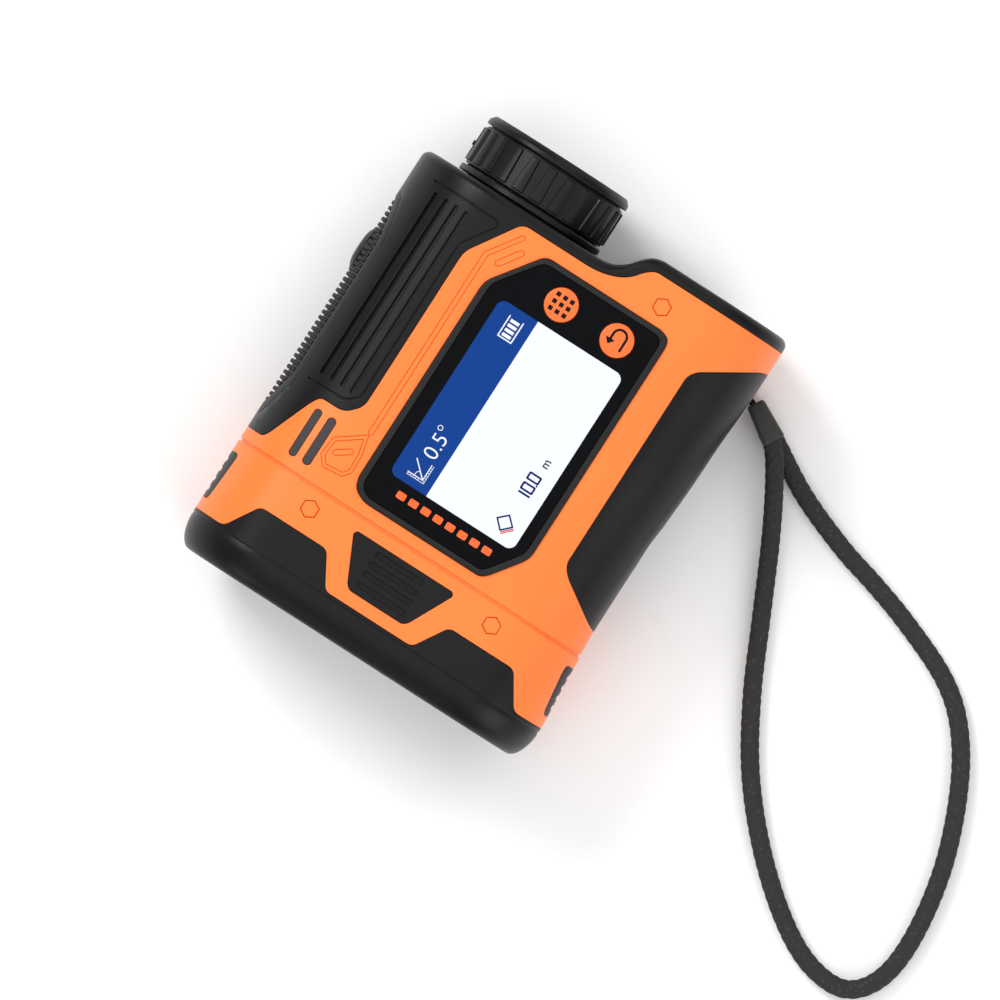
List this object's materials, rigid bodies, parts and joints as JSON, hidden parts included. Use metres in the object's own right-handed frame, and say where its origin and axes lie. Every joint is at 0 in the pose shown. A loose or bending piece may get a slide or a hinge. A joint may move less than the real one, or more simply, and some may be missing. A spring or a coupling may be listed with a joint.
{
  "type": "laser rangefinder",
  "caption": "Handheld monocular laser rangefinder with a side colour screen, an eyepiece with a turning focus ring, rubber armour, front lenses and a looped wrist strap.",
  "frame": {"origin": "on the far side face the part lies on, at the middle of the body", "axes": "+Z out of the screen, +Y towards the eyepiece end, +X towards the underside with the strap"},
  "size_m": [0.1716, 0.1122, 0.044],
  "materials": {
    "orange_shell": "satin painted shell",
    "black_rubber": "matt over-moulded rubber",
    "pad_rubber": "knurled rubber",
    "grey_inlay": "satin dark grey",
    "black_plastic": "matt black",
    "grey_bezel": "satin dark grey",
    "dark_glass": "glossy dark window",
    "lcd_panel": "lit display module",
    "orange_key": "satin orange",
    "bright_metal": "bright metal",
    "black_anodised": "black anodised",
    "coated_lens": "coated glass",
    "prism_glass": "polished glass",
    "green_board": "circuit board",
    "cell_wrap": "shrink-wrapped cell",
    "black_string": "thin woven string",
    "grey_clasp": "moulded dark grey",
    "dark_braid": "flecked braid"
  },
  "bodies": {
    "rangefinder": {"housing_near": "orange_shell", "housing_far": "orange_shell", "front_housing": "orange_shell", "rear_armour": "black_rubber", "underside_armour": "black_rubber", "front_bumper": "black_rubber", "finger_pad": "pad_rubber", "grille_near": "grey_inlay", "grille_far": "grey_inlay", "grille_top": "grey_inlay", "grille_under": "grey_inlay", "inlay_outer": "grey_inlay", "inlay_inner": "grey_inlay", "front_plate": "black_plastic", "optics_cradle": "black_plastic", "battery_cradle": "black_plastic", "screen_bezel": "grey_bezel", "screen_glass": "dark_glass", "lcd_module": "lcd_panel", "reticle_plate": "lcd_panel", "tact_menu": "bright_metal", "tact_back": "bright_metal", "tact_measure": "bright_metal", "laser_module": "bright_metal", "usb_socket": "bright_metal", "tripod_insert": "bright_metal", "strap_pin": "bright_metal", "strap_lug": "bright_metal", "eyepiece_tube": "black_anodised", "optical_barrel": "black_anodised", "receiver_tube": "black_anodised", "screw_rear_near": "black_anodised", "screw_rear_far": "black_anodised", "screw_front_top_near": "black_anodised", "screw_front_top_far": "black_anodised", "screw_front_under_near": "black_anodised", "screw_front_under_far": "black_anodised", "objective_lens": "coated_lens", "receiver_lens": "coated_lens", "prism_block": "prism_glass", "main_board": "green_board", "measure_board": "green_board", "detector_board": "green_board", "usb_board": "green_board", "battery": "cell_wrap", "strap_string": "black_string", "strap_clasp": "grey_clasp", "strap_braid": "dark_braid"},
    "button": {"measure_button": "black_rubber"},
    "menu_key": {"key_menu": "orange_key"},
    "back_key": {"key_back": "orange_key"},
    "diopter": {"diopter_ring": "black_anodised", "eyecup": "black_rubber"},
    "eye_cell": {"eyepiece_cell": "black_anodised", "eyepiece_lens": "coated_lens"},
    "port_flap": {"port_cover": "black_rubber"}
  },
  "joints": [
    {"name": "button_press", "type": "slide", "parent": "rangefinder", "child": "button", "axis": [1, 0, 0], "range_m": [0, 0.0008], "stiffness_N_per_m": 2500, "springref_m": -0.0006},
    {"name": "menu_press", "type": "slide", "parent": "rangefinder", "child": "menu_key", "axis": [0, 0, -1], "range_m": [0, 0.0003], "stiffness_N_per_m": 3000, "springref_m": -0.0004},
    {"name": "back_press", "type": "slide", "parent": "rangefinder", "child": "back_key", "axis": [0, 0, -1], "range_m": [0, 0.0003], "stiffness_N_per_m": 3000, "springref_m": -0.0004},
    {"name": "diopter_turn", "type": "hinge", "parent": "rangefinder", "child": "diopter", "pos_m": [-0.01715, 0.0466, 0.0217], "axis": [0, 1, 0], "range_deg": [-100, 100]},
    {"name": "eyepiece_focus", "type": "slide", "parent": "rangefinder", "child": "eye_cell", "axis": [0, 1, 0], "range_m": [-0.0013, 0.0013]},
    {"name": "port_hinge", "type": "hinge", "parent": "rangefinder", "child": "port_flap", "pos_m": [0.025, 0.0467, 0.0271], "axis": [-1, 0, 0], "range_deg": [0, 110]}
  ],
  "couplings": [
    {"joint": "eyepiece_focus", "follows": "diopter_turn", "m_per_rad": 0.0007}
  ]
}
